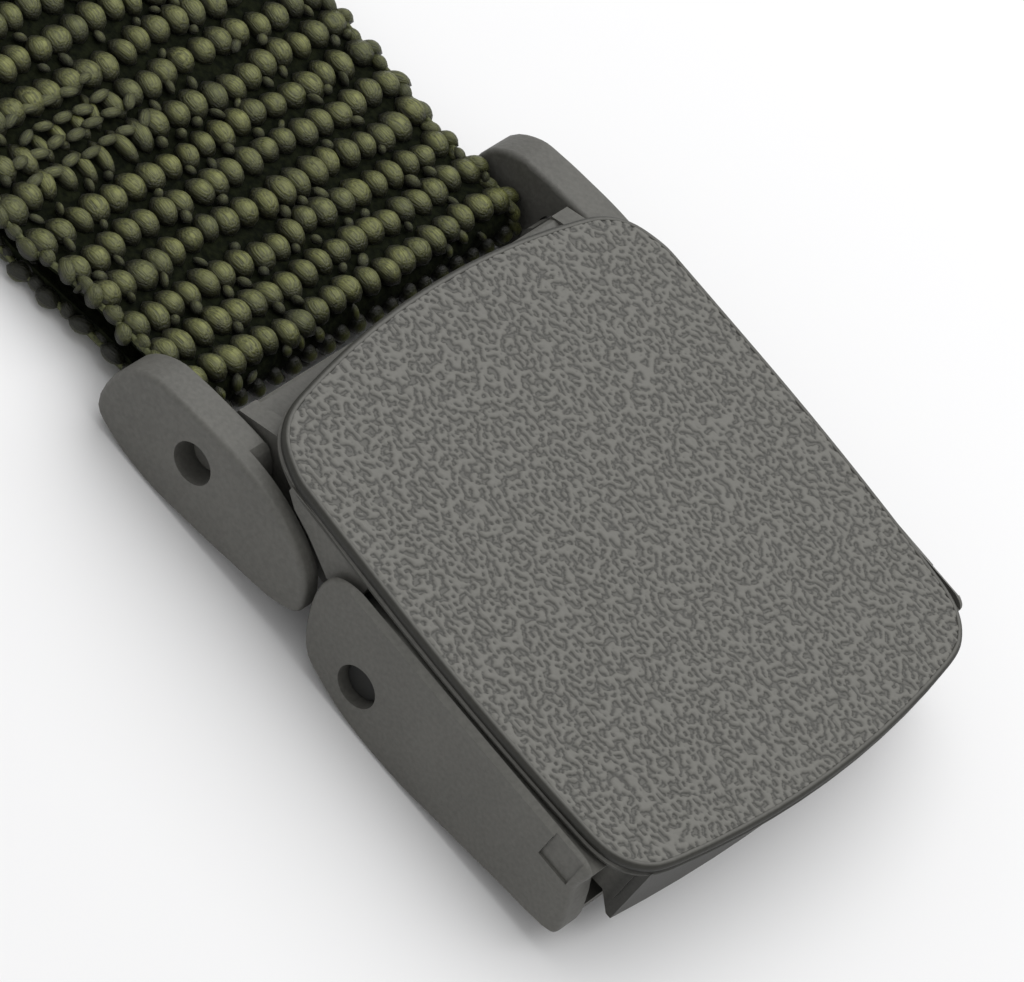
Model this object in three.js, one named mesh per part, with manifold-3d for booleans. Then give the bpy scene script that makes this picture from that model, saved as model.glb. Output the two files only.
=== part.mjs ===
// Buckle end of a web belt: a 38 mm ribbed strap looped round a bar, and a moulded
// flip buckle with two ears, a grained cover and a locking lever underneath.
// Millimetres, +Z up. The strap runs along X, with the buckle's tail at +X.
// While the pieces are made, X is 0 at the cover's front corners and Z is 0 at the table.
import * as THREE from 'three';
import { mergeVertices } from 'three/addons/utils/BufferGeometryUtils.js';
import Module from 'manifold-3d';

const wasm = await Module();
wasm.setup();

// Strap
const STRAP_WIDTH = 38;
const STRAP_THICKNESS = 2.3;
const STRAP_RUN = 43.6;
const STRAP_SIDESTEP = 1.3;
const STRAP_SIDE_CLEARANCE = 0.5;

// Bar that the strap turns round
const BAR_RADIUS = 0.85;
const BAR_SEAT_DEPTH = 1.6;
const BAR_SEAT_CLEARANCE = 0.3;
const LOOP_CLEARANCE = 0.15;
const LOOP_ABOVE_TABLE = 0.5;
const LOOP_TO_HINGE_CLEARANCE = 0.35;

// Cover: the plate
const PLATE_LENGTH = 42.6;
const PLATE_OVERHANG = 2.3;
const PLATE_THICKNESS = 1.4;
const PLATE_TOP = 12.95;
const PLATE_DROP = 1.3;
const PLATE_CROWN = 0.6;
const SIDE_BOW = 0.95;
const FRONT_BOW = 3.05;
const TAIL_BOW = 2.6;
const CORNER_RADIUS = 4.5;

// Cover: the walls under the plate
const CHEEK_CLEARANCE = 0.3;
const CHEEK_THICKNESS = 1.9;
const HINGE_LUG_RADIUS = 1.75;
const LEVER_LUG_RADIUS = 2.75;
const SKIRT_INSET = 0.4;
const SKIRT_BEFORE_PIN = 4.4;
const FRONT_BAR_REACH = 3.35;
const FRONT_BAR_DEPTH = 5.9;
const FRONT_BAR_INSET = 0.3;
const FRONT_BAR_TOP = 9.6;
const FRONT_BAR_HEIGHT = 2.3;
const LIP_INSET = 0.4;
const LIP_FACE = 0.4;
const LIP_BOW = 1.1;
const LIP_DEPTH = 2.5;
const LIP_EDGE_HEIGHT = 3.85;
const LIP_SLANT = 2.2;
const LIP_EDGE = 0.5;

// Ears
const EAR_LENGTH = 22.25;
const EAR_HEIGHT = 10.3;
const EAR_BEHIND_HINGE = 8.8;
const EAR_THICKNESS = 3.4;
const EAR_NOSE_THICKNESS = 1.5;
const EAR_BOSS_RADIUS = 5;
const EAR_EDGE = 0.45;

// Locking lever
const LEVER_LENGTH = 30.9;
const LEVER_HEIGHT = 10.85;
const LEVER_BEFORE_PIN = 7.4;
const LEVER_THICKNESS = 3;
const LEVER_EDGE = 0.5;
const FENCE_CLEARANCE = 0.25;
const FENCE_THICKNESS = 0.6;
const FENCE_SLOPE = 0.42;
const CATCH_LENGTH = 3.1;
const CATCH_FROM_TAIL = 1.9;
const CATCH_HEIGHT = 3.1;
const CATCH_DEPTH = 0.25;
const SWING_CLEARANCE = 0.3;
const FLOOR_THICKNESS = 1.4;
const FLOOR_BEHIND_PIN = 3.6;
const FLOOR_LENGTH = 19.5;
const FLOOR_ABOVE_TABLE = 0.3;
const FLOOR_RISE = 2;

// Hinges: places along the buckle, heights above the table and round sizes
const HINGE_X = -2.7;
const HINGE_Z = 5.85;
const LEVER_PIN_X = 17.9;
const LEVER_PIN_Z = 3.9;
const PIN_RADIUS = 1.55;
const PIN_CLEARANCE = 0.3;
const STUB_RECESS = 1.9;
const LEVER_PIN_RECESS = 0.9;

// Facets
const OUTLINE_STEPS = 64;
const CURVE_STEPS = 10;
const ROUND_STEPS = 28;
const EDGE_STEPS = 3;

// How far a cutting body runs past what it cuts
const PAST = 1;

// Places across the buckle, from its middle outwards.
const strapEdge = STRAP_WIDTH / 2;
const earInside = strapEdge + STRAP_SIDE_CLEARANCE;
const earFace = earInside + EAR_THICKNESS;
const cheekFace = earInside - CHEEK_CLEARANCE;
const cheekInside = cheekFace - CHEEK_THICKNESS;
const plateHalfWidth = strapEdge + PLATE_OVERHANG;
const plateWidest = plateHalfWidth + SIDE_BOW;
const fenceInside = plateWidest + FENCE_CLEARANCE;
const leverFace = fenceInside + FENCE_THICKNESS;
const leverInside = leverFace - LEVER_THICKNESS;

const OLIVE = 0x4c5230;
const GREY = 0x55554f;
const STEEL = 0x6e6e6a;

function material(color, roughness, metalness) {
  return new THREE.MeshStandardMaterial({ color, roughness, metalness });
}

// A closed geometry as a solid that can be joined and cut.
function solidFrom(geometry) {
  const bare = geometry.clone();
  bare.deleteAttribute('normal');
  bare.deleteAttribute('uv');
  const merged = mergeVertices(bare, 1e-4);
  return new wasm.Manifold(new wasm.Mesh({
    numProp: 3,
    vertProperties: merged.attributes.position.array,
    triVerts: new Uint32Array(merged.index.array),
  }));
}

function geometryFrom(solid) {
  const mesh = solid.getMesh();
  const geometry = new THREE.BufferGeometry();
  geometry.setAttribute('position', new THREE.BufferAttribute(mesh.vertProperties, 3));
  geometry.setIndex(new THREE.BufferAttribute(mesh.triVerts, 1));
  geometry.computeVertexNormals();
  return geometry;
}

// A shape drawn in X and Z, as a solid from yLow to yHigh with its edges rounded.
function slabAcross(shape, yLow, yHigh, edge = 0) {
  const geometry = new THREE.ExtrudeGeometry(shape, {
    depth: yHigh - yLow - 2 * edge,
    bevelEnabled: edge > 0,
    bevelSize: edge,
    bevelOffset: -edge,
    bevelThickness: edge,
    bevelSegments: EDGE_STEPS,
    curveSegments: CURVE_STEPS,
  });
  geometry.rotateX(Math.PI / 2);
  geometry.translate(0, yHigh - edge, 0);
  return solidFrom(geometry);
}

// A shape drawn in Y and Z, as a solid from xLow to xHigh.
function slabAlong(shape, xLow, xHigh) {
  const geometry = new THREE.ExtrudeGeometry(shape, { depth: xHigh - xLow, bevelEnabled: false });
  geometry.applyMatrix4(new THREE.Matrix4().makeBasis(
    new THREE.Vector3(0, 1, 0), new THREE.Vector3(0, 0, 1), new THREE.Vector3(1, 0, 0)));
  geometry.translate(xLow, 0, 0);
  return solidFrom(geometry);
}

// A shape drawn in X and Y, as a solid from zLow to zHigh.
function slabUp(shape, zLow, zHigh) {
  const geometry = new THREE.ExtrudeGeometry(shape, {
    depth: zHigh - zLow,
    bevelEnabled: false,
    curveSegments: CURVE_STEPS,
  });
  geometry.translate(0, 0, zLow);
  return solidFrom(geometry);
}

function rod(x, z, radius, yLow, yHigh) {
  const geometry = new THREE.CylinderGeometry(radius, radius, yHigh - yLow, ROUND_STEPS);
  geometry.translate(x, (yLow + yHigh) / 2, z);
  return solidFrom(geometry);
}

function block(xLow, xHigh, yLow, yHigh, zLow, zHigh) {
  const geometry = new THREE.BoxGeometry(xHigh - xLow, yHigh - yLow, zHigh - zLow);
  geometry.translate((xLow + xHigh) / 2, (yLow + yHigh) / 2, (zLow + zHigh) / 2);
  return solidFrom(geometry);
}

// The far one of a pair of pieces.
function mirrored(solid) {
  return solid.mirror([0, 1, 0]);
}

function polygon(corners) {
  return new THREE.Shape(corners.map(([along, up]) => new THREE.Vector2(along, up)));
}

// A smooth closed outline through a table of shares of a length and a height.
function outlineShape(table, start, length, height) {
  const corners = table.map((row) => new THREE.Vector3(
    start + row.along * length, row.up * height, 0));
  const curve = new THREE.CatmullRomCurve3(corners, true, 'centripetal');
  const points = curve.getPoints(OUTLINE_STEPS).slice(0, -1);
  return new THREE.Shape(points.map((point) => new THREE.Vector2(point.x, point.y)));
}

// Webbing: one band, in along the top, round the bar and back below.
const loopRadius = BAR_RADIUS + LOOP_CLEARANCE + STRAP_THICKNESS / 2;
const barZ = LOOP_ABOVE_TABLE + STRAP_THICKNESS / 2 + loopRadius;
const barToHinge = loopRadius + STRAP_THICKNESS / 2 + HINGE_LUG_RADIUS + LOOP_TO_HINGE_CLEARANCE;
const barX = HINGE_X - Math.sqrt(barToHinge ** 2 - (HINGE_Z - barZ) ** 2);

// The band's layers from the loop to the cut end: along is a share of the run,
// lift (under the lower layer) and gap (between the layers) are shares of the thickness.
const LAYERS = [
  { along: 0.14, lift: 0.22, gap: 0.42 },
  { along: 0.24, lift: 0.08, gap: 0.46 },
  { along: 0.31, lift: 0.02, gap: 0.40 },
  { along: 0.38, lift: 0.00, gap: 0.18 },
  { along: 0.50, lift: 0.00, gap: 0.14 },
  { along: 0.80, lift: 0.00, gap: 0.14 },
  { along: 1.00, lift: 0.00, gap: 0.14 },
];

function layerLine(layersUp) {
  return LAYERS.map((row) => new THREE.Vector2(
    barX - row.along * STRAP_RUN,
    STRAP_THICKNESS * (0.5 + row.lift + layersUp * (1 + row.gap))));
}

// The strap's sideways step towards the near side, between two shares of its run.
const SIDESTEP_START = 0.14;
const SIDESTEP_END = 0.46;

function sidestepAt(x) {
  const along = (barX - x) / STRAP_RUN;
  return -STRAP_SIDESTEP * THREE.MathUtils.smoothstep(along, SIDESTEP_START, SIDESTEP_END);
}

function webbingSolid() {
  const loop = [];
  const loopSteps = 8;
  for (let step = 0; step <= loopSteps; step += 1) {
    const angle = Math.PI * (0.5 - step / loopSteps);
    loop.push(new THREE.Vector2(
      barX + loopRadius * Math.cos(angle), barZ + loopRadius * Math.sin(angle)));
  }
  const middle = new THREE.SplineCurve([...layerLine(1).reverse(), ...loop, ...layerLine(0)]);
  const line = middle.getPoints(OUTLINE_STEPS);
  const outer = [];
  const inner = [];
  line.forEach((point, index) => {
    const before = line[Math.max(index - 1, 0)];
    const after = line[Math.min(index + 1, line.length - 1)];
    const along = after.clone().sub(before).normalize();
    const side = new THREE.Vector2(-along.y, along.x).multiplyScalar(STRAP_THICKNESS / 2);
    outer.push(point.clone().add(side));
    inner.push(point.clone().sub(side));
  });
  const band = new THREE.Shape([...outer, ...inner.reverse()]);
  const geometry = new THREE.ExtrudeGeometry(band, { depth: STRAP_WIDTH, bevelEnabled: false });
  geometry.rotateX(Math.PI / 2);
  geometry.translate(0, STRAP_WIDTH / 2, 0);
  const position = geometry.getAttribute('position');
  for (let index = 0; index < position.count; index += 1) {
    position.setY(index, position.getY(index) + sidestepAt(position.getX(index)));
  }
  return solidFrom(geometry);
}

// Where two lines in the plan meet, each given by a point and a direction.
function meeting(point, direction, other, otherDirection) {
  const between = other.clone().sub(point);
  const share = between.cross(otherDirection) / direction.cross(otherDirection);
  return point.clone().addScaledVector(direction, share);
}

// Cover plate in plan: four bowed sides joined by rounded corners.
function plateShape() {
  const halfLength = PLATE_LENGTH / 2;
  const halfWidth = plateHalfWidth;
  const sides = [
    { half: halfWidth, reach: halfLength, bow: TAIL_BOW },
    { half: halfLength, reach: halfWidth, bow: SIDE_BOW },
    { half: halfWidth, reach: halfLength, bow: FRONT_BOW },
    { half: halfLength, reach: halfWidth, bow: SIDE_BOW },
  ].map((side, index) => {
    const share = 1 - CORNER_RADIUS / side.half;
    const out = side.reach + side.bow * (1 - share * share);
    const slope = 2 * side.bow * share / side.half;
    const place = (x, y) => new THREE.Vector2(x, y)
      .rotateAround(new THREE.Vector2(), index * Math.PI / 2);
    return {
      start: place(out, -share * side.half),
      startDirection: place(slope, 1),
      middle: place(side.reach + side.bow * (1 + share * share), 0),
      end: place(out, share * side.half),
      endDirection: place(-slope, 1),
    };
  });
  const shape = new THREE.Shape();
  shape.moveTo(sides[0].start.x, sides[0].start.y);
  sides.forEach((side, index) => {
    const next = sides[(index + 1) % sides.length];
    const corner = meeting(side.end, side.endDirection, next.start, next.startDirection);
    shape.quadraticCurveTo(side.middle.x, side.middle.y, side.end.x, side.end.y);
    shape.quadraticCurveTo(corner.x, corner.y, next.start.x, next.start.y);
  });
  return shape;
}

// The plate's rings from the underside to the middle of its top: size is a share of
// the outline, depth a share of the plate's thickness below the top surface.
const PLATE_RINGS = [
  { size: 0.50, depth: 1.00 },
  { size: 0.975, depth: 1.00 },
  { size: 1.00, depth: 0.80 },
  { size: 1.00, depth: 0.50 },
  { size: 0.985, depth: 0.24 },
  { size: 0.945, depth: 0.04 },
  { size: 0.90, depth: 0.00 },
  { size: 0.70, depth: 0.00 },
  { size: 0.45, depth: 0.00 },
  { size: 0.20, depth: 0.00 },
];

// Height of the plate's top surface, crowned across and dropping towards the tail.
function plateTopAt(x, y) {
  const share = y / (plateHalfWidth + SIDE_BOW);
  return PLATE_TOP - PLATE_DROP * x / PLATE_LENGTH + PLATE_CROWN * (1 - share * share);
}

function plateSolid() {
  const outline = plateShape().getPoints(CURVE_STEPS).slice(0, -1);
  const around = outline.length;
  const positions = [];
  const triangles = [];
  const middleX = PLATE_LENGTH / 2;
  const addPoint = (x, y, depth) => {
    positions.push(x, y, plateTopAt(x, y) - depth * PLATE_THICKNESS);
  };
  addPoint(middleX, 0, 1);
  PLATE_RINGS.forEach((ring, level) => {
    outline.forEach((point) => addPoint(
      middleX + point.x * ring.size, point.y * ring.size, ring.depth));
    for (let index = 0; index < around; index += 1) {
      const here = 1 + level * around + index;
      const next = 1 + level * around + (index + 1) % around;
      if (level === 0) {
        triangles.push(0, next, here);
      } else {
        triangles.push(here - around, next - around, next);
        triangles.push(here - around, next, here);
      }
    }
  });
  addPoint(middleX, 0, 0);
  const top = positions.length / 3 - 1;
  for (let index = 0; index < around; index += 1) {
    triangles.push(top - around + index, top - around + (index + 1) % around, top);
  }
  const geometry = new THREE.BufferGeometry();
  geometry.setAttribute('position', new THREE.Float32BufferAttribute(positions, 3));
  geometry.setIndex(triangles);
  return solidFrom(geometry);
}

// One wall under the plate, with a round stub that turns in the ear's hole and a lug
// that holds the locking lever's pin.
function cheekSolid() {
  const underPlate = (x) => plateTopAt(x, cheekFace) - PLATE_THICKNESS / 2;
  const tail = PLATE_LENGTH - LIP_FACE;
  const wall = slabAcross(polygon([
    [HINGE_X - HINGE_LUG_RADIUS * 0.9, HINGE_Z],
    [HINGE_X + HINGE_LUG_RADIUS, HINGE_Z - HINGE_LUG_RADIUS * 0.7],
    [LEVER_PIN_X - LEVER_LUG_RADIUS * 2, LEVER_PIN_Z],
    [LEVER_PIN_X - LEVER_LUG_RADIUS, LEVER_PIN_Z - LEVER_LUG_RADIUS * 0.4],
    [LEVER_PIN_X + LEVER_LUG_RADIUS, LEVER_PIN_Z],
    [tail, LIP_EDGE_HEIGHT + LIP_SLANT],
    [tail, underPlate(tail)],
    [FRONT_BAR_REACH, underPlate(FRONT_BAR_REACH)],
    [HINGE_X - HINGE_LUG_RADIUS * 0.4, FRONT_BAR_TOP],
  ]), cheekInside, cheekFace);
  return wall
    .add(rod(HINGE_X, HINGE_Z, HINGE_LUG_RADIUS, cheekInside, cheekFace))
    .add(rod(HINGE_X, HINGE_Z, PIN_RADIUS, cheekInside, earFace - STUB_RECESS))
    .add(rod(LEVER_PIN_X, LEVER_PIN_Z, LEVER_LUG_RADIUS, cheekInside, cheekFace));
}

// The skirt's lower edge from front to back, which clears the ear's nose: how far it
// lies ahead of the hinge and above it, as shares of the ear's length and height.
const SKIRT_EDGE = [
  { ahead: 0.310, up: 0.524 },
  { ahead: 0.364, up: 0.432 },
  { ahead: 0.454, up: 0.364 },
  { ahead: 0.526, up: 0.286 },
  { ahead: 0.598, up: 0.204 },
];

// The swinging lever keeps inside this radius where it passes under the plate.
const underPlateEdge = plateTopAt(LEVER_PIN_X, plateWidest) - PLATE_THICKNESS;
const swingRadius = underPlateEdge - LEVER_PIN_Z - SWING_CLEARANCE;

// The skirt that closes the side under the plate, between the ear's nose and the lever.
function skirtSolid() {
  const edge = SKIRT_EDGE.map((row) => [
    HINGE_X + row.ahead * EAR_LENGTH, HINGE_Z + row.up * EAR_HEIGHT]);
  const [, lowest] = edge[edge.length - 1];
  const end = LEVER_PIN_X - SKIRT_BEFORE_PIN;
  const inPlate = (x) => plateTopAt(x, plateWidest) - PLATE_THICKNESS / 2;
  const outline = polygon([
    ...edge,
    [end, lowest],
    [end, inPlate(end)],
    [edge[0][0], inPlate(edge[0][0])],
  ]);
  return slabAcross(outline, cheekInside, plateWidest - SKIRT_INSET)
    .subtract(rod(
      LEVER_PIN_X, LEVER_PIN_Z, swingRadius + SWING_CLEARANCE, cheekFace, plateWidest + PAST));
}

// The bar under the plate's front edge.
function frontBarSolid() {
  const low = FRONT_BAR_TOP - FRONT_BAR_HEIGHT;
  const round = FRONT_BAR_HEIGHT * 0.3;
  const shape = polygon([
    [-FRONT_BAR_REACH + round, low],
    [FRONT_BAR_DEPTH - FRONT_BAR_REACH, low],
    [FRONT_BAR_DEPTH - FRONT_BAR_REACH, FRONT_BAR_TOP + PLATE_THICKNESS / 2],
    [round, FRONT_BAR_TOP + PLATE_THICKNESS / 4],
    [0, FRONT_BAR_TOP],
    [-FRONT_BAR_REACH + round / 2, FRONT_BAR_TOP],
    [-FRONT_BAR_REACH, FRONT_BAR_TOP - round / 2],
    [-FRONT_BAR_REACH, low + round],
  ]);
  const halfWidth = cheekFace - FRONT_BAR_INSET;
  return slabAcross(shape, -halfWidth, halfWidth);
}

// The lip under the plate's tail, which bows with it and thins to a gripping edge.
function lipSolid() {
  const face = PLATE_LENGTH + LIP_FACE;
  const back = face - LIP_DEPTH;
  const halfWidth = cheekFace - LIP_INSET;
  const plan = new THREE.Shape();
  plan.moveTo(back, -halfWidth);
  plan.lineTo(face, -halfWidth);
  plan.quadraticCurveTo(face + 2 * LIP_BOW, 0, face, halfWidth);
  plan.lineTo(back, halfWidth);
  const wholeLip = slabUp(plan, LIP_EDGE_HEIGHT, plateTopAt(face, 0) - PLATE_THICKNESS);
  const slanted = slabAcross(polygon([
    [back - PAST, LIP_EDGE_HEIGHT - PAST],
    [face - LIP_EDGE, LIP_EDGE_HEIGHT - PAST],
    [face - LIP_EDGE, LIP_EDGE_HEIGHT],
    [back, LIP_EDGE_HEIGHT + LIP_SLANT],
    [back - PAST, LIP_EDGE_HEIGHT + LIP_SLANT],
  ]), -halfWidth - PAST, halfWidth + PAST);
  return wholeLip.subtract(slanted);
}

const holeRadius = PIN_RADIUS + PIN_CLEARANCE;

function coverSolid() {
  const side = cheekSolid().add(skirtSolid());
  return plateSolid()
    .add(side)
    .add(mirrored(side))
    .add(frontBarSolid())
    .add(lipSolid())
    .subtract(rod(LEVER_PIN_X, LEVER_PIN_Z, holeRadius, -cheekFace - PAST, cheekFace + PAST));
}

// Ear, seen from the side.
const EAR_OUTLINE = [
  { along: 0.000, up: 0.150 },
  { along: 0.000, up: 0.622 },
  { along: 0.100, up: 0.846 },
  { along: 0.198, up: 0.905 },
  { along: 0.331, up: 0.950 },
  { along: 0.480, up: 0.985 },
  { along: 0.634, up: 0.980 },
  { along: 0.778, up: 0.905 },
  { along: 0.895, up: 0.785 },
  { along: 0.964, up: 0.650 },
  { along: 1.000, up: 0.380 },
  { along: 0.922, up: 0.251 },
  { along: 0.723, up: 0.149 },
  { along: 0.517, up: 0.066 },
  { along: 0.299, up: 0.004 },
  { along: 0.120, up: 0.036 },
];

function earSolid() {
  const nose = earFace - EAR_NOSE_THICKNESS;
  const outline = outlineShape(
    EAR_OUTLINE, HINGE_X - EAR_BEHIND_HINGE, EAR_LENGTH, EAR_HEIGHT);
  const besidePlate = block(HINGE_X, HINGE_X + EAR_LENGTH, earInside - PAST, nose, -PAST, EAR_HEIGHT + PAST)
    .subtract(rod(HINGE_X, HINGE_Z, EAR_BOSS_RADIUS, earInside - 2 * PAST, nose + PAST));
  const seatRadius = BAR_RADIUS + BAR_SEAT_CLEARANCE;
  const seatEnd = earInside + BAR_SEAT_DEPTH + BAR_SEAT_CLEARANCE;
  return slabAcross(outline, earInside, earFace, EAR_EDGE)
    .subtract(besidePlate)
    .subtract(rod(HINGE_X, HINGE_Z, holeRadius, earInside - PAST, earFace + PAST))
    .subtract(rod(barX, barZ, seatRadius, earInside - PAST, seatEnd));
}

// Side flange of the locking lever, seen from the side.
const FLANGE_OUTLINE = [
  { along: 0.080, up: 0.990 },
  { along: 0.026, up: 0.900 },
  { along: 0.010, up: 0.740 },
  { along: 0.028, up: 0.473 },
  { along: 0.084, up: 0.170 },
  { along: 0.147, up: 0.087 },
  { along: 0.271, up: 0.006 },
  { along: 0.461, up: 0.004 },
  { along: 0.630, up: 0.068 },
  { along: 0.802, up: 0.139 },
  { along: 0.988, up: 0.228 },
  { along: 1.000, up: 0.292 },
  { along: 0.980, up: 0.533 },
  { along: 0.957, up: 0.720 },
  { along: 0.967, up: 0.930 },
  { along: 0.940, up: 0.990 },
  { along: 0.854, up: 1.000 },
  { along: 0.513, up: 1.000 },
  { along: 0.192, up: 1.000 },
];

// Only a thin fence of the flange stands up beside the plate's edge, with its top sloping
// outwards. Behind the pin the flange's inner part ends under the plate. Ahead of the pin
// it swings up, so there it is cut back to an arc.
function flangeSolid() {
  const outline = outlineShape(
    FLANGE_OUTLINE, LEVER_PIN_X - LEVER_BEFORE_PIN, LEVER_LENGTH, LEVER_HEIGHT);
  const aboveFlange = LEVER_PIN_Z + LEVER_HEIGHT;
  const tail = LEVER_PIN_X + LEVER_LENGTH;
  const relief = block(
    LEVER_PIN_X - LEVER_LENGTH, LEVER_PIN_X, leverInside - PAST, fenceInside, LEVER_PIN_Z, aboveFlange)
    .subtract(rod(LEVER_PIN_X, LEVER_PIN_Z, swingRadius, leverInside - 2 * PAST, fenceInside + PAST));
  const underPlate = (x) => plateTopAt(x, plateWidest) - PLATE_THICKNESS - SWING_CLEARANCE;
  const groove = slabAcross(polygon([
    [LEVER_PIN_X, underPlate(LEVER_PIN_X)],
    [tail, underPlate(tail)],
    [tail, aboveFlange],
    [LEVER_PIN_X, aboveFlange],
  ]), leverInside - PAST, fenceInside);
  const slope = slabAlong(polygon([
    [fenceInside, LEVER_HEIGHT],
    [leverFace, LEVER_HEIGHT - FENCE_SLOPE],
    [leverFace + PAST, LEVER_HEIGHT - FENCE_SLOPE],
    [leverFace + PAST, LEVER_HEIGHT + PAST],
    [fenceInside, LEVER_HEIGHT + PAST],
  ]), LEVER_PIN_X - LEVER_LENGTH, tail);
  const catchEnd = LEVER_PIN_X - LEVER_BEFORE_PIN + LEVER_LENGTH - CATCH_FROM_TAIL;
  const catchPocket = block(catchEnd - CATCH_LENGTH, catchEnd, leverFace - CATCH_DEPTH,
    leverFace + PAST, LEVER_HEIGHT - CATCH_HEIGHT, aboveFlange);
  return slabAcross(outline, leverInside, leverFace, LEVER_EDGE)
    .subtract(relief)
    .subtract(groove)
    .subtract(slope)
    .subtract(catchPocket);
}

// Floor between the flanges, flat at first and then rising with their lower edge.
function floorSolid() {
  const start = LEVER_PIN_X + FLOOR_BEHIND_PIN;
  const bend = start + FLOOR_LENGTH * 0.25;
  const end = start + FLOOR_LENGTH;
  const low = FLOOR_ABOVE_TABLE;
  const reach = leverFace - LEVER_THICKNESS / 2;
  return slabAcross(polygon([
    [start, low],
    [bend, low],
    [end, low + FLOOR_RISE],
    [end, low + FLOOR_RISE + FLOOR_THICKNESS],
    [bend, low + FLOOR_THICKNESS],
    [start, low + FLOOR_THICKNESS],
  ]), -reach, reach);
}

function leverSolid() {
  const flange = flangeSolid();
  return flange
    .add(mirrored(flange))
    .add(floorSolid())
    .subtract(rod(LEVER_PIN_X, LEVER_PIN_Z, holeRadius, -leverFace - PAST, leverFace + PAST));
}

const belt = new THREE.Group();
const pieces = new THREE.Group();
belt.add(pieces);

function addPiece(name, solid, surface) {
  const mesh = new THREE.Mesh(geometryFrom(solid), surface);
  mesh.name = name;
  pieces.add(mesh);
}

function addPair(name, farSolid, surface) {
  addPiece(`${name}_near`, mirrored(farSolid), surface);
  addPiece(`${name}_far`, farSolid, surface);
}

const barReach = earInside + BAR_SEAT_DEPTH;
addPiece('webbing', webbingSolid(), material(OLIVE, 0.9, 0));
addPiece('strap_bar', rod(barX, barZ, BAR_RADIUS, -barReach, barReach), material(STEEL, 0.4, 0.9));
addPair('ear', earSolid(), material(GREY, 0.6, 0));
addPiece('cover', coverSolid(), material(GREY, 0.6, 0));
addPiece('locking_lever', leverSolid(), material(GREY, 0.6, 0));
addPair(
  'lever_pin',
  rod(LEVER_PIN_X, LEVER_PIN_Z, PIN_RADIUS, cheekInside, leverFace - LEVER_PIN_RECESS),
  material(STEEL, 0.4, 0.9));

// The origin is the middle of the footprint, at the table.
const box = new THREE.Box3().setFromObject(pieces);
const middle = box.getCenter(new THREE.Vector3());
pieces.position.set(-middle.x, -middle.y, -box.min.z);

export default belt;
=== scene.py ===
import math

import bmesh
import bpy
import numpy as np
from mathutils import Matrix, Vector, geometry


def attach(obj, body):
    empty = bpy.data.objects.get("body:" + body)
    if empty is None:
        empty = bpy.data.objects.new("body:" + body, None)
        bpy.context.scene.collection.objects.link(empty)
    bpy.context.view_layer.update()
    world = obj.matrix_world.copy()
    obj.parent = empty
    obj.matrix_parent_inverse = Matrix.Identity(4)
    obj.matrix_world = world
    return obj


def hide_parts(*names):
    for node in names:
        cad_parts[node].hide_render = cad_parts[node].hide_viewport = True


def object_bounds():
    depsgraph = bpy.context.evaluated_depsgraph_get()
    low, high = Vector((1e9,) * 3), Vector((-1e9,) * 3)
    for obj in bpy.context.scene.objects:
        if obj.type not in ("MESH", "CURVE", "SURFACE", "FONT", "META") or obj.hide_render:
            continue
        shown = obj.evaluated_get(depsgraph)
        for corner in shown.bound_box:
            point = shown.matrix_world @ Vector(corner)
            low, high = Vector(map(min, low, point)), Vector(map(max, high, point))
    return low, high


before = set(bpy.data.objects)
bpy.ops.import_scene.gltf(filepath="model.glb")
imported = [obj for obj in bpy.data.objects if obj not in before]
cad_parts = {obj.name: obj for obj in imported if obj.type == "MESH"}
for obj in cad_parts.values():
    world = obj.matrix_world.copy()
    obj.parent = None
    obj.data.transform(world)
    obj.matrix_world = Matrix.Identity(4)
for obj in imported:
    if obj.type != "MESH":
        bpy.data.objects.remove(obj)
cad_low, cad_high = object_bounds()

# The table and the studio. The belt lies flat on a white sheet under one large soft box
# overhead and a little behind, with white walls round it, so its shadows fall softly
# towards the near side. The camera looks down on it over its near front corner.
VIEW_TARGET = Vector((0.01646, -0.00541, 0.01132))
VIEW_DISTANCE = 0.5067
VIEW_AZIMUTH, VIEW_ELEVATION, VIEW_ROLL = (math.radians(a) for a in (12.8, 48.87, 39.9))
VIEW_LENS = 236.9
NEAREST_SEEN, FARTHEST_SEEN = 0.02, 20

camera_data = bpy.data.cameras.new("camera")
camera_data.lens = VIEW_LENS
camera_data.clip_start = NEAREST_SEEN
camera_data.clip_end = FARTHEST_SEEN
camera = bpy.data.objects.new("camera", camera_data)
bpy.context.collection.objects.link(camera)
looking = (
    Matrix.Rotation(VIEW_AZIMUTH, 3, "Z")
    @ Matrix.Rotation(math.pi / 2 - VIEW_ELEVATION, 3, "X")
    @ Matrix.Rotation(VIEW_ROLL, 3, "Z")
)
back = looking @ Vector((0, 0, 1))
camera.matrix_world = Matrix.LocRotScale(VIEW_TARGET + VIEW_DISTANCE * back, looking, None)
bpy.context.scene.camera = camera
bpy.context.scene.view_settings.view_transform = "Standard"


def new_material(name, color, roughness, specular=0.5):
    """A material with its Principled shader, and that shader's node."""
    material = bpy.data.materials.new(name)
    material.use_nodes = True
    shader = material.node_tree.nodes["Principled BSDF"]
    shader.inputs["Base Color"].default_value = (*color, 1)
    shader.inputs["Roughness"].default_value = roughness
    shader.inputs["Specular IOR Level"].default_value = specular
    return material, shader


SHEET_HALF = 3.0
SHEET_WHITE = (0.86, 0.86, 0.865)
SHEET_CORNERS = ((-1, -1), (1, -1), (1, 1), (-1, 1))
sheet_mesh = bpy.data.meshes.new("floor")
sheet_mesh.from_pydata(
    [(x * SHEET_HALF, y * SHEET_HALF, 0) for x, y in SHEET_CORNERS], [], [(0, 1, 2, 3)])
sheet = bpy.data.objects.new("floor", sheet_mesh)
bpy.context.collection.objects.link(sheet)
sheet_mesh.materials.append(new_material("white_sheet", SHEET_WHITE, 0.9, specular=0.1)[0])

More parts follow.
